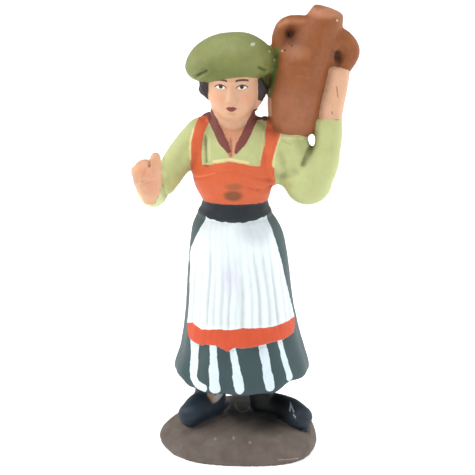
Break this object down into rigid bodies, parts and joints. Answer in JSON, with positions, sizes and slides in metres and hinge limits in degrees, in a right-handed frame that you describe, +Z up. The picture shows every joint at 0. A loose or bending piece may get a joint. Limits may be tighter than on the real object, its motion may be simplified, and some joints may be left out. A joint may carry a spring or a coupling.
{
  "type": "terracotta nativity figure",
  "caption": "Painted terracotta nativity figure of a countrywoman in a cap and long apron, holding a handled water jug up on her shoulder, standing on a low rounded patch of ground.",
  "frame": {"origin": "middle of the flat underside of the ground patch, where the figure rests", "axes": "+Z up through the figure's height, she faces -Y, and +X is towards the jug on the viewer's right"},
  "size_m": [0.0557, 0.037, 0.112],
  "materials": {
    "painted_terracotta": "hand-painted matte to satin over fired clay"
  },
  "bodies": {
    "root": {"water_carrier": "painted_terracotta"}
  },
  "joints": []
}
